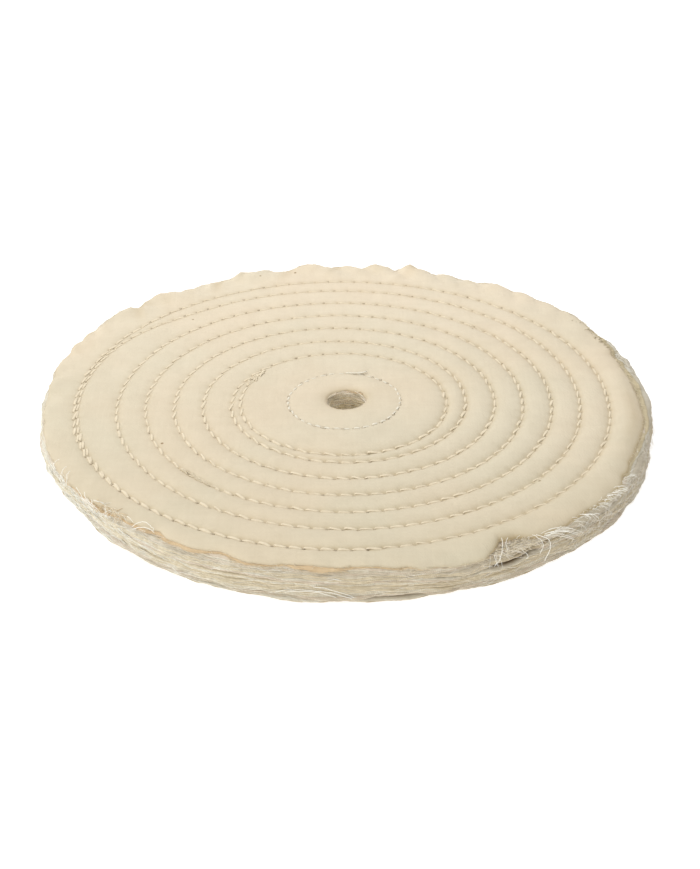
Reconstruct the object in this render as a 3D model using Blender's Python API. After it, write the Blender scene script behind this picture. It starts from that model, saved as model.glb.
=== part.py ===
"""A spiral-sewn cotton buffing wheel, 8 inches across with a half-inch arbor hole.

Forty discs of cotton sheeting lie on each other. A circle of lockstitch holds them round the
arbor hole, and one long spiral of lockstitch holds them out to the rim, which is left raw.
The wheel lies flat: +Z is its axis, and z = 0 is the surface that it lies on.
"""

import math

import bmesh
import bpy

# Driving dimensions, in metres and degrees.
WHEEL_RADIUS = 0.1016  # 8 in across
BORE_RADIUS = 0.00635  # half-inch arbor hole
PLY_COUNT = 40
PLY_PITCH = 0.00025
PLY_THICKNESS = 0.00019
SEAT_RADIUS = 0.016  # where an arbor flange has pressed the outer plies
SEAT_STEP_WIDTH = 0.0004
SEAT_DEPTH = 0.00003
TRIM_VARIATION = 0.0004  # how much smaller than the covers the inner plies are cut
TRIM_PHASE = 2.4  # radians from one ply's trim to the next one's

RIM_SEGMENTS = 48
BORE_SEGMENTS = 16
THREAD_BEVEL_STEPS = 1
SHARP_EDGE_DEG = 35.0
CLOTH_ROUGHNESS = 0.9

THREAD_RADIUS = 0.00028
HUB_THREAD_RADIUS = 0.00022
THREAD_GAP = 0.00004
SEAM_CENTRE = (-0.0010, -0.0024)  # sewn by hand, so a little off the bore
HUB_SEAM_RADIUS = 0.0187
HUB_SEAM_WOBBLE = 0.0010
HUB_SEAM_LEAN_DEG = 80.0  # the side to which the hub's seam leans out
FIRST_ROW_RADIUS = 0.0341
ROW_PITCH = 0.00947  # the spiral grows by 3/8 in a turn
LAST_ROW_RADIUS = 0.0874
SEAM_START_DEG = 150.0  # angles along the seam count on through its turns
SPIRAL_START_DEG = 475.0  # the first circle is closed before the spiral sets off
SPIRAL_END_DEG = 2284.0
LAST_ROW_START_DEG = 2320.0
SEAM_END_DEG = 2797.0
START_TUCK = 0.0011  # the seam starts inside the circle that it closes
START_TUCK_DEG = (200.0, 300.0)
LAST_ROW_LAP = 0.0007  # where the last circle runs on past its own start, one row beside the other
LAST_ROW_LAP_DEG = (2450.0, 2500.0)
WOBBLE_COS_2 = 0.00074
WOBBLE_COS_1 = -0.00051
WOBBLE_SIN_1 = 0.00029
SEAM_STEP_DEG = 12.0
HUB_SEAM_POINTS = 30

UNDERSIDE_Z = 2.0 * THREAD_RADIUS + THREAD_GAP  # the wheel lies on its thickest thread
TOPSIDE_Z = UNDERSIDE_Z + (PLY_COUNT - 1) * PLY_PITCH + PLY_THICKNESS

COVER_COLOUR = (0.80, 0.70, 0.54, 1.0)
TAN_COLOUR = (0.55, 0.38, 0.19, 1.0)
INNER_COLOUR = (0.66, 0.60, 0.50, 1.0)
SEAM_THREAD_COLOUR = (0.74, 0.62, 0.40, 1.0)
HUB_THREAD_COLOUR = (0.82, 0.79, 0.72, 1.0)


def clear_scene():
    for obj in list(bpy.data.objects):
        bpy.data.objects.remove(obj, do_unlink=True)


def cloth_material(name, colour):
    material = bpy.data.materials.new(name)
    material.use_nodes = True
    shader = material.node_tree.nodes["Principled BSDF"]
    shader.inputs["Base Color"].default_value = colour
    shader.inputs["Roughness"].default_value = CLOTH_ROUGHNESS
    shader.inputs["Metallic"].default_value = 0.0
    return material


def ring(bm, radius, z, segments):
    """One closed ring of corners round the wheel's axis."""
    angles = [2.0 * math.pi * step / segments for step in range(segments)]
    return [bm.verts.new((radius * math.cos(a), radius * math.sin(a), z)) for a in angles]


def skin_between(bm, first, second):
    """Faces from one ring to the next, whose counts are equal or one a multiple of the other."""
    if len(first) > len(second):
        first, second = second, first
    share = len(second) // len(first)
    for i, corner in enumerate(first):
        following = first[(i + 1) % len(first)]
        fan = [second[(i * share + step) % len(second)] for step in range(share + 1)]
        if share == 1:
            bm.faces.new((corner, following, fan[1], fan[0]))
            continue
        middle = (share + 1) // 2
        bm.faces.new((corner, following, fan[middle]))
        for step in range(share):
            apex = corner if step < middle else following
            bm.faces.new((apex, fan[step + 1], fan[step]))


def lathe(name, profile, material):
    """A solid of revolution: profile is a closed run of (radius, z, segments)."""
    bm = bmesh.new()
    rings = [ring(bm, radius, z, segments) for radius, z, segments in profile]
    for first, second in zip(rings, rings[1:] + rings[:1]):
        skin_between(bm, first, second)
    bmesh.ops.recalc_face_normals(bm, faces=bm.faces[:])
    mesh = bpy.data.meshes.new(name)
    bm.to_mesh(mesh)
    bm.free()
    mesh.materials.append(material)
    mesh.shade_smooth()
    mesh.set_sharp_from_angle(angle=math.radians(SHARP_EDGE_DEG))
    obj = bpy.data.objects.new(name, mesh)
    bpy.context.collection.objects.link(obj)
    return obj


def ply_floor(index):
    """The height of a ply's underside; ply 0 is the bottom cover."""
    return UNDERSIDE_Z + index * PLY_PITCH


def make_inner_ply(name, index, material):
    low = ply_floor(index)
    high = low + PLY_THICKNESS
    radius = WHEEL_RADIUS - TRIM_VARIATION * (1.0 + math.sin(TRIM_PHASE * index))
    profile = [
        (BORE_RADIUS, low, BORE_SEGMENTS),
        (radius, low, RIM_SEGMENTS),
        (radius, high, RIM_SEGMENTS),
        (BORE_RADIUS, high, BORE_SEGMENTS),
    ]
    return lathe(name, profile, material)


def make_cover_ply(name, index, outward, material):
    """An outermost ply, with the shallow ring that a flange presses; outward is +1 or -1."""
    low = ply_floor(index)
    inner, outer = (low, low + PLY_THICKNESS) if outward > 0 else (low + PLY_THICKNESS, low)
    seat = outer - outward * SEAT_DEPTH
    profile = [
        (BORE_RADIUS, inner, BORE_SEGMENTS),
        (WHEEL_RADIUS, inner, RIM_SEGMENTS),
        (WHEEL_RADIUS, outer, RIM_SEGMENTS),
        (SEAT_RADIUS + SEAT_STEP_WIDTH, outer, BORE_SEGMENTS),
        (SEAT_RADIUS, seat, BORE_SEGMENTS),
        (BORE_RADIUS, seat, BORE_SEGMENTS),
    ]
    return lathe(name, profile, material)


def smooth_step(low, high, value):
    share = min(1.0, max(0.0, (value - low) / (high - low)))
    return share * share * (3.0 - 2.0 * share)


def seam_radius(turn_deg):
    """The long seam's radius at an angle counted on through its turns: circle, spiral, circle."""
    spiral = FIRST_ROW_RADIUS + ROW_PITCH * max(0.0, turn_deg - SPIRAL_START_DEG) / 360.0
    tuck = START_TUCK * (1.0 - smooth_step(*START_TUCK_DEG, turn_deg))
    last_row = LAST_ROW_RADIUS + LAST_ROW_LAP * (smooth_step(*LAST_ROW_LAP_DEG, turn_deg) - 0.5)
    out = smooth_step(SPIRAL_END_DEG, LAST_ROW_START_DEG, turn_deg)
    angle = math.radians(turn_deg)
    wobble = (
        WOBBLE_COS_2 * math.cos(2.0 * angle)
        + WOBBLE_COS_1 * math.cos(angle)
        + WOBBLE_SIN_1 * math.sin(angle)
    )
    return (spiral - tuck) * (1.0 - out) + last_row * out + wobble


def seam_points(z):
    steps = int((SEAM_END_DEG - SEAM_START_DEG) / SEAM_STEP_DEG)
    points = []
    for step in range(steps + 1):
        turn_deg = SEAM_START_DEG + step * (SEAM_END_DEG - SEAM_START_DEG) / steps
        radius = seam_radius(turn_deg)
        angle = math.radians(turn_deg)
        x = SEAM_CENTRE[0] + radius * math.cos(angle)
        y = SEAM_CENTRE[1] + radius * math.sin(angle)
        points.append((x, y, z))
    return points


def hub_seam_points(z):
    points = []
    for step in range(HUB_SEAM_POINTS):
        angle = 2.0 * math.pi * step / HUB_SEAM_POINTS
        lean = math.cos(angle - math.radians(HUB_SEAM_LEAN_DEG))
        radius = HUB_SEAM_RADIUS + HUB_SEAM_WOBBLE * lean
        x = SEAM_CENTRE[0] + radius * math.cos(angle)
        y = SEAM_CENTRE[1] + radius * math.sin(angle)
        points.append((x, y, z))
    return points


def make_thread(name, points, closed, radius, material):
    curve = bpy.data.curves.new(name, "CURVE")
    curve.dimensions = "3D"
    curve.bevel_depth = radius
    curve.bevel_resolution = THREAD_BEVEL_STEPS
    curve.use_fill_caps = not closed
    spline = curve.splines.new("POLY")
    spline.points.add(len(points) - 1)
    for slot, (x, y, z) in zip(spline.points, points):
        slot.co = (x, y, z, 1.0)
    spline.use_cyclic_u = closed
    spline.use_smooth = True
    curve.materials.append(material)
    obj = bpy.data.objects.new(name, curve)
    bpy.context.collection.objects.link(obj)
    return obj


def make_plies():
    cover = cloth_material("cover_cloth", COVER_COLOUR)
    tan = cloth_material("tan_cloth", TAN_COLOUR)
    inner = cloth_material("inner_cloth", INNER_COLOUR)
    make_cover_ply("bottom_cover_ply", 0, -1, cover)
    for index in range(1, PLY_COUNT - 2):
        make_inner_ply(f"inner_ply_{index:02d}", index, inner)
    make_inner_ply("tan_ply", PLY_COUNT - 2, tan)
    make_cover_ply("top_cover_ply", PLY_COUNT - 1, 1, cover)


def make_seams():
    seam = cloth_material("seam_thread", SEAM_THREAD_COLOUR)
    hub = cloth_material("hub_thread", HUB_THREAD_COLOUR)
    seam_lift = THREAD_GAP + THREAD_RADIUS
    hub_lift = THREAD_GAP + HUB_THREAD_RADIUS
    above, below = TOPSIDE_Z, UNDERSIDE_Z
    make_thread("spiral_needle_thread", seam_points(above + seam_lift), False, THREAD_RADIUS, seam)
    make_thread("spiral_bobbin_thread", seam_points(below - seam_lift), False, THREAD_RADIUS, seam)
    make_thread("hub_needle_thread", hub_seam_points(above + hub_lift), True, HUB_THREAD_RADIUS, hub)
    make_thread("hub_bobbin_thread", hub_seam_points(below - hub_lift), True, HUB_THREAD_RADIUS, hub)


clear_scene()
make_plies()
make_seams()
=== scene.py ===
"""The looks of a spiral-sewn cotton buffing wheel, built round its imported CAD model.

Each flat CAD ply is replaced by a thin sheet of cotton that is pinched along the seams, puffed
up between them and ruffled at its raw rim. The seams are sewn stitch by stitch on both faces,
and the rim and the arbor hole are frayed with single yarns.
"""

import math

import bpy
import numpy as np
from numpy.random import default_rng
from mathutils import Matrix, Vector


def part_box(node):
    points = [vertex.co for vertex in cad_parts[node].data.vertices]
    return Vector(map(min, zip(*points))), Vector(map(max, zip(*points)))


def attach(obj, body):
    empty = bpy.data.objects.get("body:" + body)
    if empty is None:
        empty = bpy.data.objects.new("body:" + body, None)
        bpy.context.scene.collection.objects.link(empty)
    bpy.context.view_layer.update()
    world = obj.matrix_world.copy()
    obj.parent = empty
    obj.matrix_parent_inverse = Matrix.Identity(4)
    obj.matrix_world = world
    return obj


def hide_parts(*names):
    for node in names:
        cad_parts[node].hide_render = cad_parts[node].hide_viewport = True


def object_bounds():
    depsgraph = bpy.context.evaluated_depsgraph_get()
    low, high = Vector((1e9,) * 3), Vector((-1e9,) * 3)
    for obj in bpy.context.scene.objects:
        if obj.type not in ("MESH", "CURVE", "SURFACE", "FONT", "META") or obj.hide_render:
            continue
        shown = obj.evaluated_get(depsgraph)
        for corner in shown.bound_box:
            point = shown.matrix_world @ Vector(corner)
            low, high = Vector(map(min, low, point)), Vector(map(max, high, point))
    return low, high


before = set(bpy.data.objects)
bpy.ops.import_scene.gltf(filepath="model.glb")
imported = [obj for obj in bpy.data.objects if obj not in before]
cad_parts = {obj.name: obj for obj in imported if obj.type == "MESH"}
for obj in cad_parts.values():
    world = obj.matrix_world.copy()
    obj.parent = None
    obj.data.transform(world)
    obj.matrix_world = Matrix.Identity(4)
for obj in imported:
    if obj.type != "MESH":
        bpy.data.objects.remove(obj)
cad_low, cad_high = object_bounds()

MM = 0.001
TAU = 2.0 * math.pi

# The frame: sizes and heights of the CAD solids that the pieces stand for.
WHEEL_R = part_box("top_cover_ply")[1].x
TOP_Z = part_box("top_cover_ply")[1].z
UNDER_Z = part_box("bottom_cover_ply")[0].z
FLOOR_Z = cad_low.z
PLIES = sorted(
    (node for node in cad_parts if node.endswith("_ply") or node.startswith("inner_ply")),
    key=lambda node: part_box(node)[0].z,
)
BORE_R = min(
    math.hypot(v.co.x, v.co.y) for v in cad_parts["top_cover_ply"].data.vertices
)

# The seams, which follow the CAD's own: angles count on along the seam through its turns.
SEAM_CENTRE = (-1.0 * MM, -2.4 * MM)
HUB_SEAM_R = 18.7 * MM
HUB_SEAM_WOBBLE = 1.0 * MM
HUB_SEAM_LEAN_DEG = 80.0
HUB_SEAM_START_DEG = 70.0
FIRST_ROW_R = 34.1 * MM
ROW_PITCH = 9.47 * MM
LAST_ROW_R = 87.4 * MM
SEAM_START_DEG, SEAM_END_DEG = 145.0, 2797.0
START_HOOK, START_HOOK_DEG = 1.3 * MM, (145.0, 152.0)
SPIRAL_START_DEG, SPIRAL_END_DEG = 475.0, 2284.0
LAST_ROW_START_DEG = 2320.0
START_TUCK, START_TUCK_DEG = 1.1 * MM, (200.0, 300.0)
LAST_ROW_LAP, LAST_ROW_LAP_DEG = 1.1 * MM, (2450.0, 2500.0)
LAP_CLOSES, LAP_CLOSES_DEG = 0.9 * MM, (2712.0, 2745.0)
END_JOG, END_JOG_DEG = 0.8 * MM, (2793.5, 2797.0)
SEAM_WOBBLE = (0.74, -0.51, 0.29)  # millimetres: twice round, then once, cosine and sine
LONG_STITCH, HUB_STITCH = 4.8 * MM, 3.3 * MM

YARN_LIFT = 0.15 * MM  # how far loose yarns stay above the floor

# How the cloth lies.
CLOTH = 0.15 * MM
PLY_COLUMNS, COVER_RINGS = 720, 66
PUFF, PUFF_REACH = 0.95 * MM, 5.0 * MM
GROOVE_REACH, DIMPLE_REACH = 0.95 * MM, 1.1 * MM
HUB_PUFF, HUB_REACH = 0.40 * MM, 1.6 * MM
SEAM_SINK = 0.45 * MM  # how far the seams pull the top cover in from the CAD's flat face
LOWER_SINK, LOWER_PUFF = 0.30 * MM, 0.80 * MM  # the same for the bottom cover, and its puffs
CORE_DROP = 0.30 * MM  # how far the inner plies lie inside the covers' seams
BORE_DIP, BORE_REACH = 0.85 * MM, 1.1 * MM  # the top's rounded mouth at the arbor hole

# Where the top cover is cut, by angle, as a share of the wheel's radius. It is torn back at 300.
COVER_EDGE = (
    (0, 0.962), (6, 0.953), (14, 0.947), (24, 0.962), (32, 0.977), (42, 0.981), (62, 0.96),
    (90, 0.962), (120, 0.97), (135, 0.986), (152, 1.004), (166, 0.998), (178, 0.985),
    (206, 0.996), (219, 0.982), (234, 0.956), (241, 0.971), (247, 0.951), (253, 0.972),
    (262, 0.95), (270, 0.956), (276, 0.96), (286, 0.989), (294, 0.996), (296.5, 0.968),
    (299, 0.934), (302, 0.943), (305, 0.976), (313, 0.979), (320, 0.979), (326, 0.989),
    (331, 0.981), (337, 0.966), (344, 0.965), (350, 0.973),
)

# Pockets where the plies gape at the rim: ply number, angle, half width, how wide they open.
POCKETS = (
    (22, 299.5, 3.4, 4.5), (27, 308.5, 3.6, 3.0), (12, 264.0, 4.5, 3.5), (7, 269.0, 3.2, 2.5),
    (21, 249.0, 7.0, 2.5), (31, 243.0, 9.0, 2.0), (16, 282.0, 6.0, 2.0), (5, 235.0, 6.0, 2.0),
    (30, 331.0, 8.0, 2.0), (14, 318.0, 9.0, 2.0),
)

# Slots where plies have torn back: first and last ply, angle, half width and depth in mm.
SLOTS = ((21, 24, 299.7, 3.6, 5.5), (26, 28, 308.6, 3.8, 4.5))


def smooth_step(low, high, value):
    share = np.clip((value - low) / (high - low), 0.0, 1.0)
    return share * share * (3.0 - 2.0 * share)


def between(value, rise, fall):
    """1 from the end of the rise to the start of the fall, and 0 beyond both."""
    return smooth_step(*rise, value) * (1.0 - smooth_step(*fall, value))


def row_of_shares(count):
    return np.linspace(0.0, 1.0, count)[None, :]


def bell(away, width):
    """1 at nothing, falling to 0 about two widths away."""
    return np.exp(-((away / width) ** 2))


def window(angle_deg, centre, width):
    """A bell round an angle, on a circle of 360 degrees."""
    return bell((angle_deg - centre + 180.0) % 360.0 - 180.0, width)


def ring_noise(angle_deg, bumps, seed):
    """Smooth noise round the wheel with about that many bumps, roughly from -1 to 1."""
    rng = default_rng(seed)
    total = np.zeros_like(np.asarray(angle_deg, float))
    counts = np.unique(np.round(bumps * np.linspace(0.45, 1.55, 9)).astype(int))
    for count in counts[counts > 0]:
        strength, phase = rng.uniform(0.6, 1.0), rng.uniform(0.0, TAU)
        total += strength * np.cos(np.radians(angle_deg) * count + phase)
    return total / (1.15 * math.sqrt(len(counts)))


def cloth_noise(x, y, wavelength, seed):
    """Smooth noise over the wheel's plane, roughly from -1 to 1."""
    rng = default_rng(seed)
    total = np.zeros_like(x)
    for _ in range(14):
        turn, phase = rng.uniform(0.0, TAU), rng.uniform(0.0, TAU)
        k = TAU / (wavelength * rng.uniform(0.7, 1.4))
        total += np.cos(k * (x * math.cos(turn) + y * math.sin(turn)) + phase)
    return total / 4.5


def joined(*columns):
    """Arrays of one shape as the columns of one: points from x, y and z, or faces."""
    return np.stack(columns, axis=-1)


def polar(radius, angle_deg, centre=(0.0, 0.0)):
    angle = np.radians(angle_deg)
    return centre[0] + radius * np.cos(angle), centre[1] + radius * np.sin(angle)


def wheel_angle(x, y):
    return np.degrees(np.arctan2(y, x)) % 360.0


def from_bore(x, y):
    return np.maximum(np.hypot(x, y) - BORE_R, 0.0)


# -------- the seams' routes


def seam_radius(turn_deg):
    """The long seam's radius about its own centre: a circle, a spiral and a last circle."""
    spiral = FIRST_ROW_R + ROW_PITCH * np.maximum(0.0, turn_deg - SPIRAL_START_DEG) / 360.0
    tuck = START_TUCK * (1.0 - smooth_step(*START_TUCK_DEG, turn_deg))
    tuck = tuck - START_HOOK * (1.0 - smooth_step(*START_HOOK_DEG, turn_deg))
    last = LAST_ROW_R + LAST_ROW_LAP * (smooth_step(*LAST_ROW_LAP_DEG, turn_deg) - 0.5)
    last = last - LAP_CLOSES * smooth_step(*LAP_CLOSES_DEG, turn_deg)
    last = last + END_JOG * smooth_step(*END_JOG_DEG, turn_deg)
    out = smooth_step(SPIRAL_END_DEG, LAST_ROW_START_DEG, turn_deg)
    angle = np.radians(turn_deg)
    twice, cosine, sine = SEAM_WOBBLE
    wobble = twice * np.cos(2.0 * angle) + cosine * np.cos(angle) + sine * np.sin(angle)
    return (spiral - tuck) * (1.0 - out) + last * out + MM * wobble


def hub_radius(turn_deg):
    return HUB_SEAM_R + HUB_SEAM_WOBBLE * np.cos(np.radians(turn_deg - HUB_SEAM_LEAN_DEG))


class Seam:
    """A row of stitches: its turns, and how far along it each turning angle lies."""

    def __init__(self, radius_of, start_deg, end_deg, stitch):
        self.radius_of, self.start, self.end = radius_of, start_deg, end_deg
        self.turn = np.linspace(start_deg, end_deg, int(end_deg - start_deg) * 2)
        x, y = self.at(self.turn)
        steps = np.hypot(np.diff(x), np.diff(y))
        self.length = np.concatenate([[0.0], np.cumsum(steps)])
        lap = self.length[-1] - np.interp(end_deg - 360.0, self.turn, self.length)
        self.stitch = lap / round(lap / stitch)
        self.count = int(self.length[-1] / self.stitch + 0.01)

    def at(self, turn_deg):
        return polar(self.radius_of(turn_deg), turn_deg, SEAM_CENTRE)

    def turn_at(self, length):
        return np.interp(length, self.length, self.turn)

    def rows(self, psi_deg):
        """For each turn that passes the angle: its radius, how present it is, and its phase."""
        for k in range(int(self.end // 360.0) + 1):
            turn = psi_deg + 360.0 * k
            starts, ends = (self.start - 4.0, self.start + 1.0), (self.end - 1.0, self.end + 4.0)
            here = between(turn, starts, ends)
            if np.any(here > 0.0):
                length = np.interp(turn, self.turn, self.length)
                yield self.radius_of(turn), here, length / self.stitch


LONG_SEAM = Seam(seam_radius, SEAM_START_DEG, SEAM_END_DEG, LONG_STITCH)
HUB_SEAM = Seam(hub_radius, HUB_SEAM_START_DEG, HUB_SEAM_START_DEG + 360.0, HUB_STITCH)


def about_seam(x, y):
    """Radius and angle, 0 to 360, about the centre that the seams share."""
    dx, dy = x - SEAM_CENTRE[0], y - SEAM_CENTRE[1]
    return np.hypot(dx, dy), np.degrees(np.arctan2(dy, dx)) % 360.0


def seam_pull(x, y):
    """How hard the seams pinch the cloth at a point, the grooves that the thread lies in and the
    needle dimples, all 0 to 1, and how far the point is out past the last row."""
    radius, psi = about_seam(x, y)
    pinch, groove, dimple, last_row = (np.zeros_like(radius) for _ in range(4))
    for row, here, phase in LONG_SEAM.rows(psi):
        away = np.abs(radius - row)
        pinch = np.maximum(pinch, here * np.maximum(1.0 - away / PUFF_REACH, 0.0) ** 1.9)
        groove = np.maximum(groove, here * bell(away, GROOVE_REACH))
        hole = (0.5 + 0.5 * np.cos(TAU * phase)) ** 2
        dimple = np.maximum(dimple, here * hole * bell(away, DIMPLE_REACH))
        last_row = np.maximum(last_row, np.where(here > 0.5, row, 0.0))
    return pinch, groove, dimple, radius - last_row


def hub_pull(x, y):
    radius, psi = about_seam(x, y)
    return np.exp(-((np.abs(radius - hub_radius(psi)) / HUB_REACH) ** 1.3))


# -------- how the faces lie


def margin_share(x, y, past):
    """0 inside the last row, rising to 1 at the rim."""
    out = np.maximum(past, 0.0)
    left = np.maximum(WHEEL_R - np.hypot(x, y), 0.0)
    return out / (out + left + 1e-6)


def puff_height(angle_deg):
    """The puffs stand higher at the front right than at the far left."""
    share = 0.34 + 0.66 * (0.5 + 0.5 * np.cos(np.radians(angle_deg - 325.0))) ** 1.2
    return PUFF * share * (1.0 - 0.96 * window(angle_deg, 122.0, 78.0))


def upper_rim(x, y, past):
    """How the top cover's free margin ruffles, lifts at the back and droops in front."""
    angle = wheel_angle(x, y)
    share = margin_share(x, y, past)
    far = window(angle, 95.0, 60.0)
    near = window(angle, 258.0, 62.0)
    right = window(angle, 335.0, 36.0)
    torn = window(angle, 302.0, 4.5)
    billow = np.sqrt(ring_noise(angle + 9.0 * (1.0 - share), 19, 21) ** 2 + 0.01) - 0.45
    small = ring_noise(angle - 14.0 * (1.0 - share), 60, 22)
    crease = np.abs(ring_noise(angle + 6.0 * share, 44, 25))
    ruffle = (0.6 + 3.0 * far) * billow + (0.15 + 0.35 * far) * small - 0.95 * far * crease
    lift = 0.7 * far - 1.1 * near - 1.2 * right + 1.5 * torn
    ridge = 0.9 * window(angle, 355.0, 22.0) * bell(share - 0.45, 0.28)
    inset = np.maximum(cover_edge(angle) - np.hypot(x, y), 0.0)
    rolled = (0.40 + 0.75 * right + 0.25 * near + 1.3 * torn) * np.exp(-inset / (1.4 * MM))
    rolled = rolled + 0.5 * window(angle, 355.0, 20.0) * np.exp(-inset / (2.6 * MM))
    return MM * (share**1.5 * ruffle + share**2.2 * lift + ridge - rolled)


def broad_waves(x, y):
    return 0.15 * MM * cloth_noise(x, y, 34.0 * MM, 11)


def bore_mouth(x, y):
    return BORE_DIP * np.exp(-from_bore(x, y) / BORE_REACH)


def upper_face(x, y):
    """Height of the top cover's upper side."""
    pinch, groove, dimple, past = seam_pull(x, y)
    height = TOP_Z - SEAM_SINK + puff_height(wheel_angle(x, y)) * (1.0 - pinch)
    height -= HUB_PUFF * hub_pull(x, y) + MM * (0.15 * groove + 0.20 * dimple)
    height += broad_waves(x, y) * (1.0 - pinch) + 0.05 * MM * cloth_noise(x, y, 9.0 * MM, 12)
    return height + upper_rim(x, y, past) - bore_mouth(x, y)


def lower_rim(x, y, past):
    share = margin_share(x, y, past)
    return MM * share**2.0 * (0.35 + 0.30 * ring_noise(wheel_angle(x, y), 26, 23))


def lower_face(x, y):
    """Height of the bottom cover's underside, which lies on its puffs."""
    pinch, groove, dimple, past = seam_pull(x, y)
    height = UNDER_Z + LOWER_SINK - LOWER_PUFF * (1.0 - pinch) + 0.30 * MM * hub_pull(x, y)
    height += MM * (0.12 * groove + 0.16 * dimple + 0.05 * cloth_noise(x, y, 30.0 * MM, 13))
    return np.maximum(height + lower_rim(x, y, past), FLOOR_Z + 0.05 * MM)


def core_faces(x, y):
    """Heights between which the inner plies lie: flat inside, full at the rim and the bore."""
    past = seam_pull(x, y)[3]
    rim = 1.0 - np.exp(-((np.maximum(past, 0.0) / (3.2 * MM)) ** 1.5))
    full = np.maximum(rim, 1.0 - smooth_step(0.0, 7.0 * MM, from_bore(x, y)))
    upper = TOP_Z - SEAM_SINK - CORE_DROP * (1.0 - full) + broad_waves(x, y) * full
    upper += full * puff_height(wheel_angle(x, y)) + upper_rim(x, y, past)
    upper -= bore_mouth(x, y)
    lower = UNDER_Z + LOWER_SINK + CORE_DROP * (1.0 - full) - LOWER_PUFF * full
    return upper, np.maximum(lower + lower_rim(x, y, past), FLOOR_Z + 0.05 * MM)


def cover_share(angle_deg):
    places, shares = np.array(COVER_EDGE).T
    return np.interp(angle_deg, places, shares, period=360.0)


def cover_edge(angle_deg):
    """The top cover's cut edge, with its small waves."""
    return WHEEL_R * cover_share(angle_deg) + 0.35 * MM * ring_noise(angle_deg, 55, 24)


def rim_radius(angle_deg, level):
    """The radius at which an inner ply is cut; level runs from 0 at the bottom to 1 at the top."""
    degrees = np.arange(360.0)
    cover = np.convolve(np.tile(cover_share(degrees), 3), np.ones(13) / 13.0, "same")[360:720]
    cover = np.interp(angle_deg, degrees, cover, period=360.0)
    turned = (angle_deg + 100.0) % 360.0
    right = between(turned, (45.0, 68.0), (116.0, 132.0))
    left = window(angle_deg, 213.0, 14.0)
    low_right = window(angle_deg, 350.0, 10.0)
    top = cover + np.maximum(0.992 - cover, 0.0) * right * (1.0 - smooth_step(0.88, 0.96, level))
    bottom = 1.000 + 0.006 * window(angle_deg, 320.0, 26.0) - 0.026 * left - 0.008 * low_right
    top = top + 0.005 * window(angle_deg, 20.0, 8.0)
    return WHEEL_R * (bottom + (top - bottom) * level**1.6)


def make_groups():
    """The plies cling together in groups of three to seven: the group of each ply."""
    rng = default_rng(30)
    groups = []
    while len(groups) < len(PLIES):
        groups += [groups[-1] + 1 if groups else 0] * rng.integers(3, 8)
    return np.array(groups[: len(PLIES)])


PLY_GROUP = make_groups()


def make_ply_gaps():
    """For each ply, how its share of the rim's thickness varies round the wheel."""
    angle = np.arange(1440) / 4.0
    gaps = []
    for index in range(len(PLIES) - 1):
        parting = PLY_GROUP[index] != PLY_GROUP[index + 1]
        opening = np.clip(ring_noise(angle, 9, 100 + index) - 0.05, 0.0, 1.0)
        gaps.append(0.70 + (4.0 if parting else 0.5) * opening)
    for index, centre, half_width, opening in POCKETS:
        gaps[index] = gaps[index] + opening * window(angle, centre, half_width)
    return angle, np.array(gaps)


GAP_ANGLE, PLY_GAPS = make_ply_gaps()


def ply_level(index, angle_deg, share):
    """How far up the stack a ply's underside lies, 0 to 1, at a share of the free margin."""
    even = index / (len(PLIES) - 1.0)
    sums = PLY_GAPS[:index].sum(axis=0) / PLY_GAPS.sum(axis=0)
    uneven = np.interp(angle_deg, GAP_ANGLE, sums, period=360.0)
    return even + (uneven - even) * np.clip(share, 0.0, 1.0)


# -------- meshes from arrays


def make_mesh(name, points, faces_by_size, material):
    """An object from points (n, 3) and lists of faces, each an array (count, corners)."""
    mesh = bpy.data.meshes.new(name)
    mesh.vertices.add(len(points))
    mesh.vertices.foreach_set("co", np.asarray(points, np.float32).ravel())
    corners = np.concatenate([faces.ravel() for faces in faces_by_size]).astype(np.int32)
    sizes = np.concatenate([np.full(len(faces), faces.shape[1]) for faces in faces_by_size])
    mesh.loops.add(len(corners))
    mesh.loops.foreach_set("vertex_index", corners)
    mesh.polygons.add(len(sizes))
    starts = np.concatenate([[0], np.cumsum(sizes)[:-1]]).astype(np.int32)
    mesh.polygons.foreach_set("loop_start", starts)
    mesh.update(calc_edges=True)
    mesh.validate()
    mesh.shade_smooth()
    mesh.materials.append(material)
    obj = bpy.data.objects.new(name, mesh)
    bpy.context.collection.objects.link(obj)
    return obj


def annulus(name, x, y, upper, lower, material):
    """A closed sheet from a grid of rings (rows, from the bore out) and angles (columns)."""
    rings, columns = x.shape
    points = np.concatenate([joined(x, y, side).reshape(-1, 3) for side in (upper, lower)])
    under = rings * columns
    index = np.arange(under).reshape(rings, columns)
    after = np.roll(index, -1, axis=1)
    upper_faces = joined(index[:-1], index[1:], after[1:], after[:-1]).reshape(-1, 4)
    lower_faces = upper_faces[:, ::-1] + under
    rim = joined(index[-1], index[-1] + under, after[-1] + under, after[-1])
    bore = joined(index[0], after[0], after[0] + under, index[0] + under)
    faces = np.concatenate([upper_faces, lower_faces, rim, bore])
    return make_mesh(name, points, [faces], material)


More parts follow.
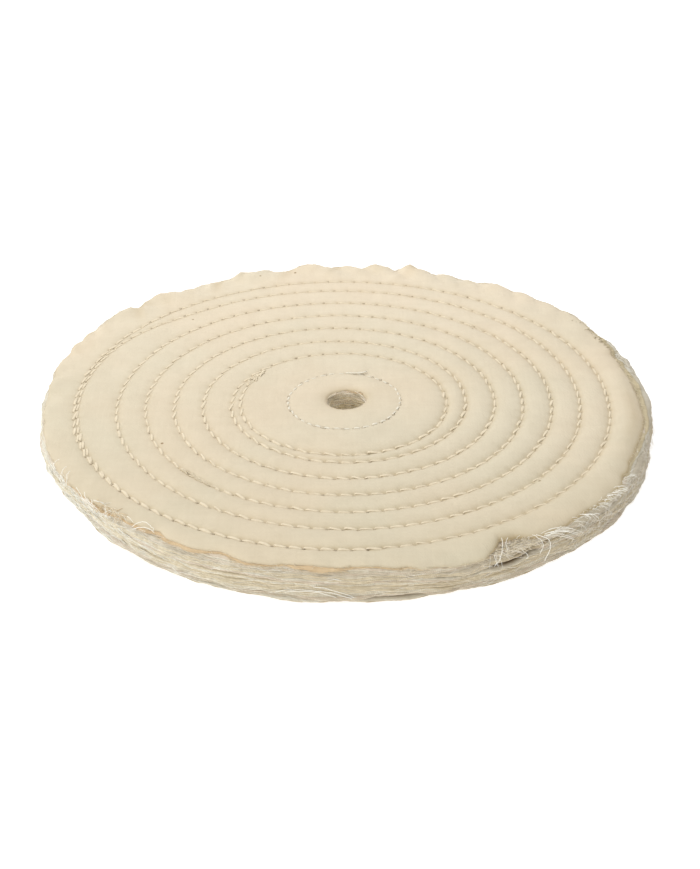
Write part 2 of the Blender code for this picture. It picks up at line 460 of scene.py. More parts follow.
def tubes(name, paths, radii, sides, material, lobes=0.0, twist=0.0, flat=1.0):
    """Closed tubes along paths (count, steps, 3) of radii (count, steps), as one object.

    lobes is how deep the three strands of a plied thread show, twist is in turns along a path,
    and flat is the section's height as a share of its width."""
    count, steps, _ = paths.shape
    along = np.gradient(paths, axis=1)
    along /= np.linalg.norm(along, axis=2, keepdims=True) + 1e-12
    up = np.zeros_like(along)
    up[..., 2] = 1.0
    up += 0.05 * default_rng(5).normal(size=(count, 1, 3))
    side = np.cross(along, up)
    side /= np.linalg.norm(side, axis=2, keepdims=True) + 1e-12
    over = np.cross(side, along)
    around = TAU * np.arange(sides) / sides
    turned = TAU * twist * np.linspace(0.0, 1.0, steps)
    shape = 1.0 + lobes * np.cos(3.0 * (around[None, :] - turned[:, None]))
    reach = radii[:, :, None] * shape[None]
    rings = (
        paths[:, :, None, :]
        + side[:, :, None, :] * (reach * np.cos(around))[..., None]
        + over[:, :, None, :] * (flat * reach * np.sin(around))[..., None]
    )
    points = np.concatenate([rings.reshape(-1, 3), paths[:, 0], paths[:, -1]])
    spoke = np.arange(sides)
    following = (spoke + 1) % sides
    base = np.arange(count)[:, None] * steps * sides
    last = base + (steps - 1) * sides
    ring = base[:, None] + np.arange(steps - 1)[None, :, None] * sides
    corners = (ring + spoke, ring + following, ring + sides + following, ring + sides + spoke)
    start_tip = count * steps * sides + np.arange(count)[:, None]
    end_tip = start_tip + count
    start_fan = joined(start_tip + 0 * spoke, base + following, base + spoke)
    end_fan = joined(end_tip + 0 * spoke, last + spoke, last + following)
    fans = [fan.reshape(-1, 3) for fan in (start_fan, end_fan)]
    return make_mesh(name, points, [joined(*corners).reshape(-1, 4), *fans], material)


def finish(piece):
    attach(piece, "root")


# -------- materials


class Nodes:
    """A short way to wire up a Principled material."""

    def __init__(self, name, roughness, sheen=0.0):
        self.material = bpy.data.materials.new(name)
        self.material.use_nodes = True
        self.tree = self.material.node_tree
        self.shader = self.tree.nodes["Principled BSDF"]
        self.feed(self.shader, {"Roughness": roughness, "Specular IOR Level": 0.25})
        self.feed(self.shader, {"Sheen Weight": sheen, "Sheen Roughness": 0.5})
        self.place = self.add("ShaderNodeTexCoord").outputs["Object"]

    def add(self, kind, feeds=(), **values):
        """A node with its properties set and its inputs fed, by their names or numbers."""
        node = self.tree.nodes.new(kind)
        for key, value in values.items():
            setattr(node, key, value)
        self.feed(node, feeds)
        return node

    def feed(self, node, feeds):
        """Sets a node's inputs to values, or links them to other nodes' outputs."""
        for key, value in dict(feeds).items():
            socket = node.inputs[key]
            if isinstance(value, bpy.types.NodeSocket):
                self.tree.links.new(value, socket)
            else:
                socket.default_value = (*value, 1.0) if socket.type == "RGBA" else value

    def attribute(self, name):
        return self.add("ShaderNodeAttribute", attribute_name=name).outputs["Fac"]

    def math(self, operation, *values, clamp=False):
        feeds = enumerate(values)
        node = self.add("ShaderNodeMath", feeds, operation=operation, use_clamp=clamp)
        return node.outputs[0]

    def turned(self, turn, stretch=(1.0, 1.0, 1.0)):
        feeds = {"Vector": self.place, "Rotation": (0.0, 0.0, turn), "Scale": stretch}
        return self.add("ShaderNodeMapping", feeds).outputs[0]

    def across(self, place):
        """The x and the y of a place."""
        split = self.add("ShaderNodeSeparateXYZ", {0: place})
        return split.outputs["X"], split.outputs["Y"]

    def noise(self, size, detail=2.0, stretch=(1.0, 1.0, 1.0), turn=0.0):
        """Noise with features about that size, in metres, stretched along an axis."""
        place = self.turned(turn, stretch)
        feeds = {"Vector": place, "Scale": 1.0 / size, "Detail": detail}
        return self.add("ShaderNodeTexNoise", feeds).outputs["Fac"]

    def ramp(self, value, *stops):
        node = self.add("ShaderNodeValToRGB", {0: value})
        for _ in range(len(stops) - 2):
            node.color_ramp.elements.new(0.5)
        for element, (place, colour) in zip(node.color_ramp.elements, stops):
            element.position = place
            element.color = (*colour, 1.0)
        return node.outputs[0]

    def mix(self, share, first, second, blend="MIX"):
        feeds = {0: share, 6: first, 7: second}
        node = self.add("ShaderNodeMix", feeds, data_type="RGBA", blend_type=blend)
        return node.outputs[2]

    def finish(self, colour, height=None, depth=0.0, roughness=None):
        self.feed(self.shader, {"Base Color": colour})
        if height is not None:
            bump = self.add("ShaderNodeBump", {"Distance": depth, "Height": height})
            self.feed(self.shader, {"Normal": bump.outputs[0]})
        if roughness is not None:
            self.feed(self.shader, {"Roughness": roughness})
        return self.material


def weave(nodes, pitch, turn):
    """Plain weave: 1 on top of a yarn, 0 between yarns."""
    waves = []
    for axis in nodes.across(nodes.turned(turn)):
        waves.append(nodes.math("SINE", nodes.math("MULTIPLY", axis, math.pi / pitch)))
    return nodes.math("ABSOLUTE", nodes.math("MULTIPLY", *waves))


def woven(nodes, colour, turn, contrast):
    """Plain-woven cotton with slubs over a colour: the colour, the height and the roughness."""
    warp = nodes.noise(1.1 * MM, 2.0, stretch=(1.0, 0.05, 1.0), turn=turn)
    weft = nodes.noise(1.1 * MM, 2.0, stretch=(0.05, 1.0, 1.0), turn=turn)
    slubs = nodes.math("MULTIPLY", warp, weft)
    deep = tuple(1.0 - contrast * share for share in (0.8, 0.9, 1.1))
    streak = nodes.ramp(slubs, (0.12, deep), (0.38, (1.0, 1.0, 1.0)))
    colour = nodes.mix(1.0, colour, streak, "MULTIPLY")
    threads = weave(nodes, 0.42 * MM, turn)
    shade = nodes.ramp(threads, (0.0, deep), (0.5, (1.0, 1.0, 1.0)))
    colour = nodes.mix(1.0, colour, shade, "MULTIPLY")
    height = nodes.math("ADD", threads, nodes.math("MULTIPLY", slubs, 2.5))
    return colour, height, nodes.math("MULTIPLY_ADD", threads, -0.08, 0.95)


def blotches(nodes, size, light, dark, low=0.38, high=0.66):
    share = nodes.ramp(nodes.noise(size, 3.0), (low, (0, 0, 0)), (high, (1, 1, 1)))
    return nodes.mix(share, light, dark)


def cover_cotton():
    """Unbleached muslin: warm and cooler patches, husk specks, seam yellowing and painted shade.
    """
    nodes = Nodes("cover_cotton", 0.9, sheen=0.15)
    colour = blotches(nodes, 38.0 * MM, (0.680, 0.582, 0.440), (0.655, 0.580, 0.444))
    small = nodes.ramp(nodes.noise(7.0 * MM, 4.0), (0.3, (0.955, 0.95, 0.94)), (0.65, (1, 1, 1)))
    colour = nodes.mix(1.0, colour, small, "MULTIPLY")
    # Seam yellowing, and painted shade in the grooves, dimples and far folds and along the
    # drooping and torn edges.
    colour = nodes.mix(nodes.attribute("stain_and_shade"), colour, (0.78, 0.71, 0.58), "MULTIPLY")
    # Painted shade: greyer and darker towards the front.
    colour = nodes.mix(nodes.attribute("grey_shade"), colour, (0.89, 0.895, 0.86), "MULTIPLY")
    feeds = {"Vector": nodes.place, "Scale": 1.0 / (15.0 * MM)}
    dots = nodes.add("ShaderNodeTexVoronoi", feeds)
    speck = nodes.ramp(dots.outputs["Distance"], (0.022, (0.45, 0.36, 0.24)), (0.038, (1, 1, 1)))
    colour = nodes.mix(1.0, colour, speck, "MULTIPLY")
    colour, height, roughness = woven(nodes, colour, 0.3, 0.03)
    crinkle = nodes.math("MULTIPLY", nodes.noise(3.0 * MM, 4.0), 5.0)
    return nodes.finish(colour, nodes.math("ADD", height, crinkle), 0.05 * MM, roughness)


def tan_cotton():
    """A tan ply, more olive at the right."""
    nodes = Nodes("tan_cotton", 0.9, sheen=0.15)
    colour = blotches(nodes, 9.0 * MM, (0.68, 0.52, 0.32), (0.58, 0.43, 0.26))
    right = nodes.math("DIVIDE", nodes.across(nodes.place)[0], 0.8 * WHEEL_R, clamp=True)
    colour = nodes.mix(right, colour, (0.60, 0.51, 0.33))
    colour, height, roughness = woven(nodes, colour, 0.9, 0.16)
    return nodes.finish(colour, height, 0.07 * MM, roughness)


def inner_cotton(name, light, dark):
    """Loosely woven filling cotton, greyer at the right of the rim and browner at the bore."""
    nodes = Nodes(name, 0.92, sheen=0.15)
    colour = blotches(nodes, 6.0 * MM, light, dark, 0.3, 0.7)
    x, y = nodes.across(nodes.place)
    lean = nodes.math("SUBTRACT", nodes.math("MULTIPLY", x, 0.6), y)
    lean = nodes.math("DIVIDE", lean, 1.25 * WHEEL_R, clamp=True)
    colour = nodes.mix(lean, colour, (0.80, 0.75, 0.68), "MULTIPLY")
    squares = [nodes.math("MULTIPLY", side, side) for side in (x, y)]
    reach = nodes.math("SQRT", nodes.math("ADD", *squares))
    near_bore = nodes.ramp(reach, (0.0078, (1.0, 0.95, 0.86)), (0.0095, (1, 1, 1)))
    colour = nodes.mix(1.0, colour, near_bore, "MULTIPLY")
    # Dark brown in the slots: partly grime, partly painted shade.
    colour = nodes.mix(nodes.attribute("slot"), colour, (0.34, 0.25, 0.15), "MULTIPLY")
    colour, height, roughness = woven(nodes, colour, 0.6, 0.20)
    return nodes.finish(colour, height, 0.08 * MM, roughness)


def yarn(name, light, dark, size=1.2 * MM):
    """Cotton yarn or thread, with its fibres along and across it."""
    nodes = Nodes(name, 0.85, sheen=0.15)
    colour = blotches(nodes, size, light, dark, 0.3, 0.7)
    fibres = nodes.noise(0.25 * MM, 2.0)
    roughness = nodes.math("MULTIPLY_ADD", fibres, 0.2, 0.75)
    return nodes.finish(colour, fibres, 0.08 * MM, roughness)


# -------- the plies


def last_row_radius(angle_deg):
    """How far the outermost row lies from the wheel's own centre."""
    turn = np.linspace(LONG_SEAM.end - 360.0, LONG_SEAM.end, 720, endpoint=False)
    x, y = LONG_SEAM.at(turn)
    place = wheel_angle(x, y)
    order = np.argsort(place)
    return np.interp(angle_deg, place[order], np.hypot(x, y)[order], period=360.0)


def core_rings(angle_deg, edge):
    """Radii of an inner ply's rings: a few inside, more at the bore and along the margin."""
    last = last_row_radius(angle_deg)
    inside = [BORE_R + out + 0.0 * last for out in (0.0, 0.8 * MM, 2.5 * MM, 7.0 * MM)]
    inside.append(0.55 * last)
    shares = (-0.25, 0.0, 0.12, 0.25, 0.40, 0.56, 0.72, 0.86, 1.0)
    return np.stack(inside + [last + share * (edge - last) for share in shares])


def seam_rings(angle_deg, edge, count):
    """Radii (count, angles) of the covers' rings, crowded along the seams and the rim."""
    fine = np.linspace(0.0, 1.0, 500)[:, None]
    radius = BORE_R + fine * (edge - BORE_R)[None, :]
    x, y = polar(radius, angle_deg)
    about, psi = about_seam(x, y)
    crowd = np.ones_like(radius)
    for row, here, _ in LONG_SEAM.rows(psi):
        crowd += 2.4 * here * bell(about - row, 1.6 * MM)
    crowd += 1.2 * bell(about - hub_radius(psi), 1.5 * MM)
    crowd += 3.0 * np.exp(-((edge[None, :] - radius) / (2.4 * MM)))
    crowd += 1.5 * np.exp(-((radius - BORE_R) / (1.5 * MM)))
    sums = np.cumsum(crowd, axis=0)
    sums = (sums - sums[0]) / (sums[-1] - sums[0])
    wanted = np.linspace(0.0, 1.0, count)
    columns = [np.interp(wanted, sums[:, i], radius[:, i]) for i in range(radius.shape[1])]
    return np.stack(columns, axis=1)


def ply_edge(index, angle_deg):
    """Where a ply is cut at the rim: its trimmed radius, with waves and a ragged edge."""
    level = index / (len(PLIES) - 1.0)
    ragged = 0.13 * ring_noise(angle_deg, 170, 200 + index)
    if PLIES[index] == "top_cover_ply":
        return cover_edge(angle_deg) + MM * 0.7 * ragged
    if PLIES[index] == "tan_ply":
        front = between(angle_deg, (205.0, 222.0), (270.0, 286.0))
        right = window(angle_deg, 332.0, 22.0)
        wave = 1.15 + 0.75 * ring_noise(angle_deg, 22, 77)
        beyond = 2.4 * window(angle_deg, 6.0, 22.0) * (1.0 + 0.2 * ring_noise(angle_deg, 30, 78))
        return cover_edge(angle_deg) + MM * (front * wave + 0.45 * right + beyond - 0.2 + ragged)
    group = PLY_GROUP[index]
    wander = 0.65 * ring_noise(angle_deg, 14, 300 + group)
    wander += 0.35 * ring_noise(angle_deg, 34, 340 + group)
    wander += 0.22 * ring_noise(angle_deg, 60, 400 + index)
    torn = 1.8 * window(angle_deg, 300.5, 4.5) * smooth_step(0.80, 0.95, level)
    for first, last, centre, half_width, depth in SLOTS:
        if first <= index <= last:
            torn = torn + depth * window(angle_deg, centre, half_width) ** 0.5
    return rim_radius(angle_deg, level) + MM * (wander + ragged - torn)


def ply_heights(index, x, y):
    """Height of a ply's underside."""
    past = seam_pull(x, y)[3]
    if PLIES[index] == "top_cover_ply":
        return upper_face(x, y) - CLOTH
    if PLIES[index] == "tan_ply":
        return upper_face(x, y) - 2.0 * CLOTH - 0.06 * MM
    if PLIES[index] == "bottom_cover_ply":
        return lower_face(x, y)
    upper, lower = core_faces(x, y)
    level = ply_level(index, wheel_angle(x, y), margin_share(x, y, past))
    return lower + (upper - lower - 1.5 * CLOTH) * level


def cloth_tints(x, y, pinch, groove, dimple, share, inset, at_bore):
    """How far each point is yellowed and browned, partly as painted shade, and how far it is
    greyed, mostly as painted shade, 0 to 1 and over.
    """
    angle = wheel_angle(x, y)
    # Painted shade where the right margin droops and rolls down to its edge, with a darker band
    # inside it.
    olive = window(angle, 352.0, 34.0) * np.exp(-inset / (2.2 * MM))
    olive = olive + 0.7 * window(angle, 353.0, 9.0) * bell(inset / MM - 3.4, 2.2)
    # A dark line along the cut edge: partly the raw edge's own brown, partly painted shadow under
    # it, strongest at the right.
    raw_edge_and_shadow = (0.3 + 1.5 * window(angle, 333.0, 22.0)) * bell(inset, 0.5 * MM)
    # Painted shade on the rolled edge of the torn arch.
    torn = 1.3 * window(angle, 300.5, 5.0) * np.exp(-inset / (1.0 * MM))
    # Painted shade in the far margin's radial folds.
    fold_shade = np.maximum(ring_noise(angle + 6.0 * share, 44, 25), 0.0) * window(angle, 112.0, 52.0)
    # Seam yellowing where the seams pinch; painted shade in the thread grooves, heavier at the
    # right, and in the needle dimples; darker too at the bore.
    right = 0.5 + 0.5 * np.cos(np.radians(angle + 15.0))
    stain_and_shade = 0.08 * pinch + (0.12 + 0.30 * right) * groove + 0.30 * dimple
    stain_and_shade = stain_and_shade + 0.6 * olive + raw_edge_and_shadow + torn + 0.75 * at_bore + 0.75 * share * fold_shade
    # Painted shade: greyer and darker towards the front, most in the front margin, and a little
    # greyer at the right back.
    front = window(angle, 272.0, 42.0)
    nearer = 0.45 - 0.56 * y / WHEEL_R - 0.12 * x / WHEEL_R
    grey_shade = np.clip(nearer, 0.0, 1.0) + 0.75 * front * smooth_step(0.0, 0.25, share)
    grey_shade = grey_shade + 0.25 * window(angle, 24.0, 20.0)
    return stain_and_shade, grey_shade


def slot_shade(index, angle, inset):
    """How brown a ply is in and beside a slot: partly grime, partly painted shade deep in the
    slot.
    """
    shade = 0.0 * inset
    for first, last, centre, half_width, _ in SLOTS:
        if first - 1 <= index <= last + 1:
            torn = first <= index <= last
            reach = 1.0 if torn else smooth_step(0.1 * MM, 0.5 * MM, inset)
            shade = np.maximum(shade, reach * window(angle, centre, 1.1 * half_width))
    return shade


def make_ply(index, rings, material):
    name = PLIES[index]
    angle = 360.0 * np.arange(PLY_COLUMNS) / PLY_COLUMNS
    edge = ply_edge(index, angle)
    radius = seam_rings(angle, edge, rings) if rings else core_rings(angle, edge)
    bore_wander = MM * 0.28 * ring_noise(angle, 5, 500 + index)
    bore_wander += MM * 0.12 * ring_noise(angle, 20, 600 + index)
    bore_wander += MM * 0.45 * (index / (len(PLIES) - 1.0) - 0.5)
    radius = radius + bore_wander * np.exp(-(radius - BORE_R) / (2.0 * MM))
    x, y = polar(radius, angle)
    under = ply_heights(index, x, y)
    pinch, groove, dimple, past = seam_pull(x, y)
    share = margin_share(x, y, past)
    at_bore = np.exp(-from_bore(x, y) / (1.2 * MM))
    thick = CLOTH if rings else CLOTH + MM * (0.04 * share + 0.08 * at_bore)
    piece = annulus(name + "_cloth", x, y, under + thick, under, material)
    inset = edge - radius
    # Seam yellowing and painted shade for the covers' colour, and grime and painted shade in the
    # slots for the inner plies'.
    stain_and_shade, grey_shade = cloth_tints(x, y, pinch, groove, dimple, share, inset, at_bore)
    brown = slot_shade(index, wheel_angle(x, y), inset)
    for word, values in (("stain_and_shade", stain_and_shade), ("grey_shade", grey_shade), ("slot", brown)):
        values = np.tile(values.ravel(), 2).astype(np.float32)
        piece.data.attributes.new(word, "FLOAT", "POINT").data.foreach_set("value", values)
    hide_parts(name)
    finish(piece)
    return piece


def make_plies():
    cover = cover_cotton()
    tan = tan_cotton()
    inners = [
        inner_cotton("inner_cotton_white", (0.90, 0.88, 0.78), (0.82, 0.79, 0.68)),
        inner_cotton("inner_cotton_cream", (0.89, 0.82, 0.65), (0.80, 0.73, 0.56)),
        inner_cotton("inner_cotton_grey", (0.82, 0.78, 0.67), (0.74, 0.69, 0.57)),
        inner_cotton("inner_cotton_rose", (0.85, 0.77, 0.66), (0.76, 0.68, 0.56)),
    ]
    rng = default_rng(33)
    group_cotton = rng.permutation(np.arange(PLY_GROUP[-1] + 1)) % 4
    for index, name in enumerate(PLIES):
        if name in ("top_cover_ply", "bottom_cover_ply"):
            piece = make_ply(index, COVER_RINGS, cover)
        elif name == "tan_ply":
            piece = make_ply(index, COVER_RINGS, tan)
        else:
            kind = (group_cotton[PLY_GROUP[index]] + (index % 3 == 0)) % 4
            piece = make_ply(index, 0, inners[kind])


# -------- the stitching


def boldness(x, y):
    """How thick the thread lies: it sinks into the cloth at the back and at the front right."""
    radius, psi = about_seam(x, y)
    outer = smooth_step(0.60, 0.85, radius / WHEEL_R)
    thin = 0.42 * window(psi, 85.0, 52.0) + outer * 0.40 * window(psi, 310.0, 28.0)
    thin = thin + 0.14 * window(psi, 180.0, 50.0) + 0.12 * window(psi, 5.0, 45.0)
    return 1.0 - np.minimum(thin, 0.55)


def sewn_bow(share):
    """How a stitch rises out of one needle hole and dives into the next, along its length."""
    return np.minimum(1.0, 2.2 * np.sin(math.pi * share) ** 0.8)


def beside(x, y, out, along=0.0):
    """The point that lies so far out from the seams' centre and along the row, from x and y."""
    psi = np.radians(about_seam(x, y)[1])
    cos, sin = np.cos(psi), np.sin(psi)
    return x + out * cos - along * sin, y + out * sin + along * cos


def stitch_paths(seam, face, lift, slant, cover=0.94, steps=11):
    """Middle lines of every stitch on one face; face is +1 for the top and -1 below."""
    share = row_of_shares(steps)
    number = np.arange(seam.count)[:, None]
    rng = default_rng(41)
    jitter = rng.normal(0.0, 0.06, (seam.count, 1))
    length = (number + 0.03 + jitter * (1.0 - share) + cover * share) * seam.stitch
    x, y = seam.at(seam.turn_at(np.clip(length, 0.0, seam.length[-1])))
    slant = slant * rng.normal(1.0, 0.45, (seam.count, 1))
    sideways = slant * (share**1.5 - 0.5) * 2.0 + rng.normal(0.0, 0.10 * MM, (seam.count, 1))
    x, y = beside(x, y, sideways)
    surface = upper_face(x, y) if face > 0 else lower_face(x, y)
    bow = sewn_bow(share)
    height = surface + face * (lift * boldness(x, y) * bow - 0.40 * MM * (1.0 - bow))
    return joined(x, y, height)


def make_stitches(seam, paths, radius, material):
    count, steps, _ = paths.shape
    rng = default_rng(43)
    thick = radius * rng.uniform(0.74, 1.10, (count, 1))
    taper = 0.55 + 0.45 * np.sin(math.pi * np.linspace(0.04, 0.90, steps)) ** 0.6
    radii = thick * taper[None, :] * boldness(paths[..., 0], paths[..., 1])
    name = f"{seam}_stitches"
    piece = tubes(name, paths, radii, 10, material, lobes=0.08, twist=0.8, flat=0.44)
    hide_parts(f"{seam}_thread")
    finish(piece)


def make_holes(name, seam, face, size, offset, material):
    """Painted shade in the needle holes at the stitches' ends: dark shallow pits that follow the
    cloth.
    """
    number = np.arange(seam.count + 1)
    rng = default_rng(47)
    x, y = seam.at(seam.turn_at(number * seam.stitch))
    bearing = about_seam(x, y)[1]
    sides = 12
    around = TAU * np.arange(sides)[None, :] / sides
    open_share = 0.55 + 0.45 * (window(bearing, 262.0, 60.0) + window(bearing, 95.0, 60.0))
    grown = size * rng.uniform(0.50, 1.15, size=(len(number), 1))
    grown = grown * (boldness(x, y) * open_share)[:, None]
    grown = grown * (1.0 + 0.15 * np.cos(3.0 * around + rng.uniform(0.0, TAU, (len(number), 1))))
    out, along = 0.75 * grown * np.sin(around) + offset, 1.1 * grown * np.cos(around)
    px, py = beside(x[:, None], y[:, None], out, along)
    cx, cy = beside(x, y, offset)
    face_at = upper_face if face > 0 else lower_face
    rim = joined(px, py, face_at(px, py) + face * 0.07 * MM)
    pit = joined(cx, cy, face_at(cx, cy) + face * 0.01 * MM)
    back = joined(cx, cy, face_at(cx, cy) - face * 0.45 * MM)
    count = len(number)
    ring = np.arange(count * sides).reshape(count, sides)
    after = np.roll(ring, -1, axis=1)
    pits = count * sides + np.arange(count)[:, None] + 0 * ring
    backs = pits + count
    cone = joined(ring, after, pits).reshape(-1, 3)
    shell = joined(after, ring, backs).reshape(-1, 3)
    if face < 0:
        cone, shell = cone[:, ::-1], shell[:, ::-1]
    points = np.concatenate([rim.reshape(-1, 3), pit, back])
    finish(make_mesh(name, points, [cone, shell], material))


def make_tail(material):
    """The loose end of the hub seam: a doubled thread, turned back on itself."""
    share = np.linspace(0.0, 1.0, 16)
    angle = np.where(share < 0.5, 88.0 - 40.0 * share, 68.0 + 16.0 * (share - 0.5))
    out = 0.15 + 0.7 * smooth_step(0.42, 0.58, share) + 1.3 * bell(share - 0.5, 0.09)
    x, y = polar(hub_radius(angle) + MM * out, angle, SEAM_CENTRE)
    height = upper_face(x, y) + 0.20 * MM + 0.35 * MM * np.sin(math.pi * share)
    paths = joined(x, y, height)[None]
    piece = tubes("hub_thread_tail", paths, np.full((1, 16), 0.24 * MM), 8, material)
    finish(piece)


def make_tack(name, seed, count, turns, length, radii, cross, material):
    """Crossing stitches sewn over a row: turns is a span of angles along the seam, radii a span
    of millimetres beside it, and cross how far each stitch slants, in millimetres."""
    rng = default_rng(seed)
    steps = 9
    share = row_of_shares(steps)
    turn = rng.uniform(*turns, (count, 1))
    middle = seam_radius(turn + 8.0)
    turn = turn + np.degrees(length * rng.uniform(0.7, 1.3, (count, 1)) / middle) * (share - 0.5)
    out = rng.uniform(*radii, (count, 1))
    out = out + cross * rng.uniform(-1.0, 1.0, (count, 1)) * (share - 0.5)
    x, y = polar(middle + MM * out, turn, SEAM_CENTRE)
    bow = sewn_bow(share)
    paths = joined(x, y, upper_face(x, y) + MM * (0.20 * bow - 0.30 * (1.0 - bow)))
    thick = 0.32 * MM * (0.5 + 0.5 * np.sin(math.pi * np.linspace(0.04, 0.96, steps)))
    piece = tubes(name, paths, thick * np.ones((count, 1)), 8, material, flat=0.7)
    finish(piece)


def make_sewing():
    gold = yarn("seam_thread_cotton", (0.70, 0.61, 0.45), (0.61, 0.52, 0.375))
    white = yarn("hub_thread_cotton", (0.72, 0.68, 0.57), (0.64, 0.59, 0.48))
    # Painted shade for the needle holes of the long seam and of the hub seam.
    dark = yarn("needle_hole_shade", (0.34, 0.26, 0.16), (0.48, 0.39, 0.27), 9.0 * MM)
    soft = yarn("hub_hole_shade", (0.38, 0.31, 0.21), (0.52, 0.44, 0.31), 9.0 * MM)
    faces = ((1, "needle", "upper", 0.11, 0.16), (-1, "bobbin", "lower", 0.10, -0.05))
    for face, word, side, lift, hub_lift in faces:
        paths = stitch_paths(LONG_SEAM, face, lift * MM, 0.34 * MM)
        make_stitches(f"spiral_{word}", paths, 0.54 * MM, gold)
        paths = stitch_paths(HUB_SEAM, face, hub_lift * MM, 0.12 * MM, cover=0.62)
        make_stitches(f"hub_{word}", paths, 0.42 * MM, white)
        holes, size, out = f"{side}_needle_holes", 0.62 * MM, 0.34 * MM
        make_holes(holes, LONG_SEAM, face, size, out, dark)
        holes, size, out = f"{side}_hub_holes", 0.95 * MM, 0.15 * MM
        make_holes(holes, HUB_SEAM, face, size, out, soft)
    make_tail(white)
    start = (SEAM_START_DEG - 3.0, SEAM_START_DEG + 15.0)
    make_tack("seam_back_tack", 71, 13, start, 2.4 * MM, (-1.2, 1.0), 1.3, gold)
    brown = yarn("mended_thread_cotton", (0.46, 0.38, 0.25), (0.60, 0.52, 0.38), 3.0 * MM)
    make_tack("seam_mend", 72, 16, (1660.0, 1672.0), 3.4 * MM, (-0.45, 0.55), 0.8, brown)


# -------- frayed yarns


def fray_yarns(name, paths, radii, sides, material):
    finish(tubes(name, paths, radii, sides, material))


def rim_point(index, angle_deg, inset):
    """A point on a ply at the rim, inset from its cut edge."""
    x, y = polar(ply_edge(index, angle_deg) - inset, angle_deg)
    return x, y, ply_heights(index, x, y) + 0.5 * CLOTH


def yarn_lengths(rng, lengths, count):
    low, high = lengths
    return rng.uniform(low * MM, high * MM, (count, 1))


def strides(length, turn):
    """How far a yarn of that length gets in x and y, for its heading at each step."""
    step = length / (turn.shape[1] - 1)
    return np.cumsum(step * np.cos(turn), axis=1), np.cumsum(step * np.sin(turn), axis=1)


def rim_yarns(name, count, seed, lengths, outward, thickness, material, plies, where=None):
    """Single yarns that have come loose along the raw edges, with lengths and thickness in
    millimetres; plies is a span of ply numbers, and where an angle and a spread."""
    rng = default_rng(seed)
    angle = rng.uniform(0.0, 360.0, count)
    if where is not None:
        centre, width = where
        angle = (centre + width * rng.normal(size=count)) % 360.0
    index = rng.integers(plies[0], plies[1], count)
    places = np.zeros((3, count))
    for ply in np.unique(index):
        mine = index == ply
        inset = rng.uniform(0.1 * MM, 0.6 * MM, mine.sum())
        places[:, mine] = rim_point(ply, angle[mine], inset)
    x, y, z = places[..., None]
    share = row_of_shares(6)
    length = yarn_lengths(rng, lengths, count)
    way = rng.choice([-1.0, 1.0], (count, 1))
    out = outward * rng.uniform(0.1, 1.0, (count, 1)) ** 1.5
    heading = np.radians(angle)[:, None] + way * np.radians(93.0 - 75.0 * out)
    bend = way * rng.normal(0.35, 0.4, (count, 1)) * length / (5.0 * MM)
    dx, dy = strides(length, heading + bend * (share - 0.2))
    px, py = x + dx - dx[:, :1], y + dy - dy[:, :1]
    rise = rng.normal(-0.02, 0.10, (count, 1)) * length
    pz = z + rise * share - 0.10 * length * share**2
    shrink = np.minimum(1.0, 1.018 * WHEEL_R / np.hypot(px, py))
    px, py = px * shrink, py * shrink
    pz = np.clip(pz, FLOOR_Z + YARN_LIFT, upper_face(px, py) + 0.3 * MM)
    radii = thickness * MM * rng.uniform(0.7, 1.2, (count, 1)) * (1.0 - 0.45 * share)
    fray_yarns(name, joined(px, py, pz), radii, 4, material)


def tuft(name, count, seed, root, lengths, heading, fan, droop, thickness, material):
    """Short yarns from one spot of the rim: root is (angle, spread, share of the radius, spread,
    millimetres above the top, spread), heading and fan are degrees from straight out,
    anticlockwise, and lengths, droop and thickness are in millimetres."""
    rng = default_rng(seed)
    angle, angle_spread, share, share_spread, height, height_spread = root
    angle = np.radians(angle + angle_spread * rng.normal(size=(count, 1)))
    radius = WHEEL_R * (share + share_spread * rng.uniform(-1.0, 1.0, (count, 1)))
    z = TOP_Z + MM * (height + height_spread * rng.uniform(-1.0, 1.0, (count, 1)))
    along = row_of_shares(9)
    length = yarn_lengths(rng, lengths, count)
    turn = angle + np.radians(heading + fan * rng.normal(size=(count, 1)))
    turn = turn + rng.normal(0.0, 0.5, (count, 1)) * along
    dx, dy = strides(length, turn)
    px, py = radius * np.cos(angle) + dx, radius * np.sin(angle) + dy
    pz = z + rng.uniform(0.0, 0.12, (count, 1)) * length * np.sin(math.pi * along)
    pz = pz - droop * MM * rng.uniform(0.5, 1.2, (count, 1)) * along**2
    paths = joined(px, py, np.maximum(pz, FLOOR_Z + YARN_LIFT))
    radii = thickness * MM * rng.uniform(0.7, 1.2, (count, 1)) * (1.0 - 0.4 * along)
    fray_yarns(name, paths, radii, 5, material)


